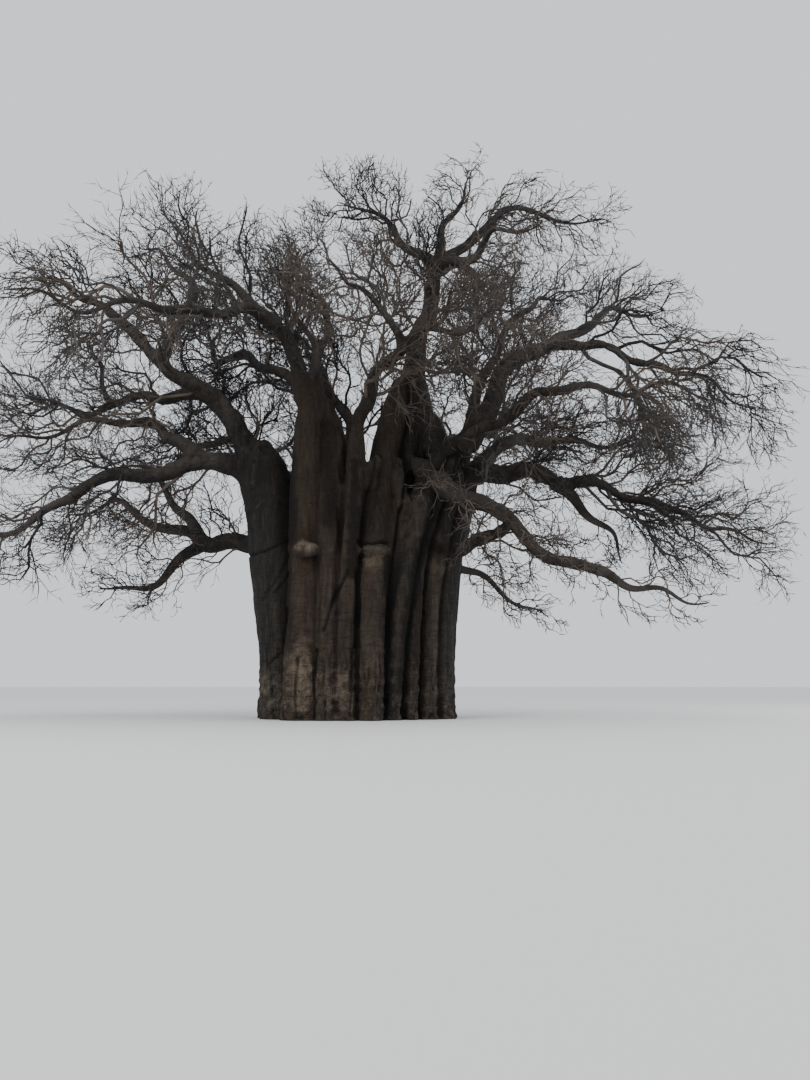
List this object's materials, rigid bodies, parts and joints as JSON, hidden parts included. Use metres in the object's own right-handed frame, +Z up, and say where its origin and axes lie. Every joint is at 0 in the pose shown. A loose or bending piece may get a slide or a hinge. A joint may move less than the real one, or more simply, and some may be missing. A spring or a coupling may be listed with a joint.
{
  "type": "baobab tree",
  "caption": "Leafless giant baobab: a very thick fluted trunk of merged columns, heavy boughs bending out from its top, and a wide rounded crown of bare twigs.",
  "frame": {"origin": "middle of the trunk's flat cut at ground level", "axes": "+X to the right as pictured, +Y away from the viewer, +Z up"},
  "size_m": [34.7313, 26.8582, 23.3044],
  "materials": {
    "trunk_bark": "thick grey-brown bark, fluted, wrinkled and cracked",
    "bough_bark": "smooth to wrinkled grey-brown bark",
    "twigs": "dull, dark grey-brown bare twigs"
  },
  "bodies": {
    "root": {"bough_arch_rise": "bough_bark", "bough_arch_run": "bough_bark", "bough_back_left": "bough_bark", "bough_back_left_up": "bough_bark", "bough_back_middle": "bough_bark", "bough_back_right": "bough_bark", "bough_centre": "bough_bark", "bough_crooked": "bough_bark", "bough_front_right": "bough_bark", "bough_front_up": "bough_bark", "bough_left_fork": "bough_bark", "bough_left_long": "bough_bark", "bough_left_low": "bough_bark", "bough_left_middle": "bough_bark", "bough_left_rise": "bough_bark", "bough_left_top": "bough_bark", "bough_right_back": "bough_bark", "bough_right_front": "bough_bark", "bough_right_hook": "bough_bark", "bough_right_low": "bough_bark", "bough_right_low_out": "bough_bark", "bough_right_rise": "bough_bark", "bough_right_spread": "bough_bark", "bough_right_up": "bough_bark", "bough_shelf": "bough_bark", "trunk": "trunk_bark", "twigs_arch": "twigs", "twigs_arch_up": "twigs", "twigs_back_left": "twigs", "twigs_back_left_up": "twigs", "twigs_back_middle": "twigs", "twigs_back_right": "twigs", "twigs_crooked": "twigs", "twigs_front": "twigs", "twigs_front_left": "twigs", "twigs_front_right": "twigs", "twigs_leader": "twigs", "twigs_left_fork": "twigs", "twigs_left_long": "twigs", "twigs_left_long_up": "twigs", "twigs_left_low": "twigs", "twigs_left_low_drop": "twigs", "twigs_left_low_up": "twigs", "twigs_left_middle": "twigs", "twigs_left_rise": "twigs", "twigs_left_top": "twigs", "twigs_right_back": "twigs", "twigs_right_front": "twigs", "twigs_right_low": "twigs", "twigs_right_low_drop": "twigs", "twigs_right_lowest": "twigs", "twigs_right_rise": "twigs", "twigs_right_spread": "twigs", "twigs_right_up": "twigs", "twigs_shelf": "twigs", "twigs_top_back": "twigs", "twigs_top_front": "twigs", "twigs_top_left": "twigs", "twigs_top_middle": "twigs", "twigs_top_right": "twigs"}
  },
  "joints": []
}
